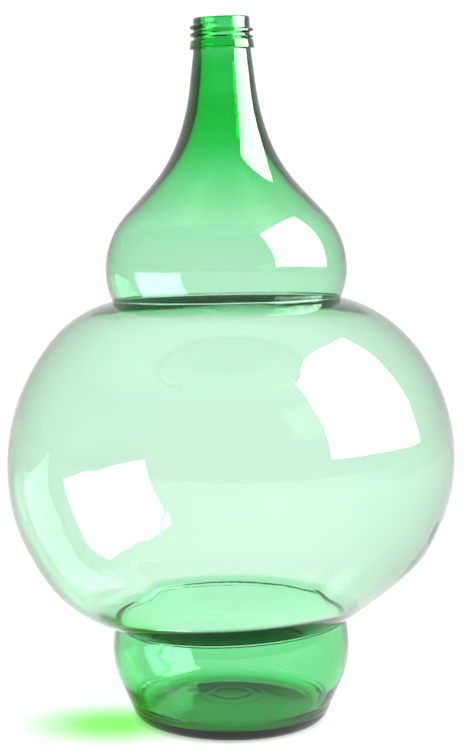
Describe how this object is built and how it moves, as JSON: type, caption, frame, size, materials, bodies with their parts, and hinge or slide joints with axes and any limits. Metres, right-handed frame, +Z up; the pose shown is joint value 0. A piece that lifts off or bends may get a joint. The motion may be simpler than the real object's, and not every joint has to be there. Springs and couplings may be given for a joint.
{
  "type": "glass carboy",
  "caption": "Green glass carboy blown as a base bowl, a wide globe and a bulb with a long flaring neck and a screw finish, with sharp creased waists between them.",
  "frame": {"origin": "centre of the flat bearing ring under the base, on the surface that the carboy stands on", "axes": "+Z up towards the mouth; the bulb and neck lean a little towards -X"},
  "size_m": [0.2004, 0.2004, 0.3136],
  "materials": {
    "green_glass": "clear bottle-green glass with a smooth fire-polished surface"
  },
  "bodies": {
    "root": {"threaded_finish": "green_glass", "bulb_and_neck": "green_glass", "globe": "green_glass", "base_bowl": "green_glass"}
  },
  "joints": []
}
